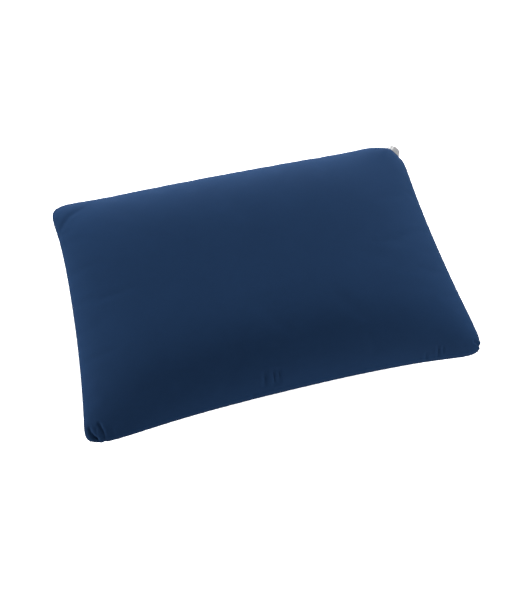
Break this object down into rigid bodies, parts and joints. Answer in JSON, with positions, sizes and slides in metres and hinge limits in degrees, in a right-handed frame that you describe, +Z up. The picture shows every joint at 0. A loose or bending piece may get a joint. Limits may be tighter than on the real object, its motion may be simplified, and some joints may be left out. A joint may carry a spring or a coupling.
{
  "type": "self-inflating camp pillow",
  "caption": "Crowned rectangular camp pillow: foam core in a welded bladder, removable stretch-knit cover with a zip, twist valve at one corner.",
  "frame": {"origin": "centre of the flat resting face under the pillow", "axes": "+X along the long side, +Y towards the long edge that holds the zip, +Z up; the valve leaves the +X +Y corner"},
  "size_m": [0.4542, 0.3013, 0.103],
  "materials": {
    "knit": "smooth stretch knit, soft satin sheen",
    "thread": "overlocked polyester thread",
    "binding": "elastic rib",
    "label": "blank satin ribbon",
    "zip_tape": "herringbone woven tape",
    "zip_coil": "nylon coil",
    "zip_metal": "coated zinc alloy",
    "coated_sheet": "film-coated woven polyester, matt",
    "foam": "open-cell foam",
    "valve_plastic": "pale grey moulded plastic, fine matt",
    "seal_rubber": "matt silicone",
    "washer_plastic": "natural acetal"
  },
  "bodies": {
    "pillow": {"cover_top_panel": "knit", "cover_bottom_panel": "knit", "seam_overlock_main": "thread", "seam_overlock_valve_side": "thread", "valve_port_binding": "binding", "care_label": "label", "zip_tape_upper": "zip_tape", "zip_tape_lower": "zip_tape", "zip_coil_upper": "zip_coil", "zip_coil_lower": "zip_coil", "zip_stop_left": "zip_metal", "zip_stop_right": "zip_metal", "bladder_top_sheet": "coated_sheet", "bladder_bottom_sheet": "coated_sheet", "foam_core": "foam", "valve_base": "valve_plastic", "valve_stem_oring": "seal_rubber", "valve_plug_seal": "seal_rubber"},
    "seal_washer": {"valve_seal_washer": "washer_plastic"},
    "twist_knob": {"valve_knob": "valve_plastic"},
    "slider": {"zip_slider": "zip_metal"},
    "pull_tab": {"zip_pull_tab": "zip_metal"}
  },
  "joints": [
    {"name": "valve_lift", "type": "slide", "parent": "pillow", "child": "seal_washer", "axis": [0.7071, 0.7071, 0], "range_m": [0, 0.00251]},
    {"name": "valve_knob_turn", "type": "hinge", "parent": "seal_washer", "child": "twist_knob", "pos_m": [0.22106, 0.1448, 0.048], "axis": [0.7071, 0.7071, 0], "range_deg": [0, 360]},
    {"name": "zip_slide", "type": "slide", "parent": "pillow", "child": "slider", "axis": [-1, 0, 0], "range_m": [0, 0.198]},
    {"name": "zip_pull_flip", "type": "hinge", "parent": "slider", "child": "pull_tab", "pos_m": [0.099, 0.1495, 0.0485], "axis": [0, 0, -1], "range_deg": [0, 170]}
  ],
  "couplings": [
    {"joint": "valve_lift", "follows": "valve_knob_turn", "m_per_rad": 0.00039788}
  ]
}
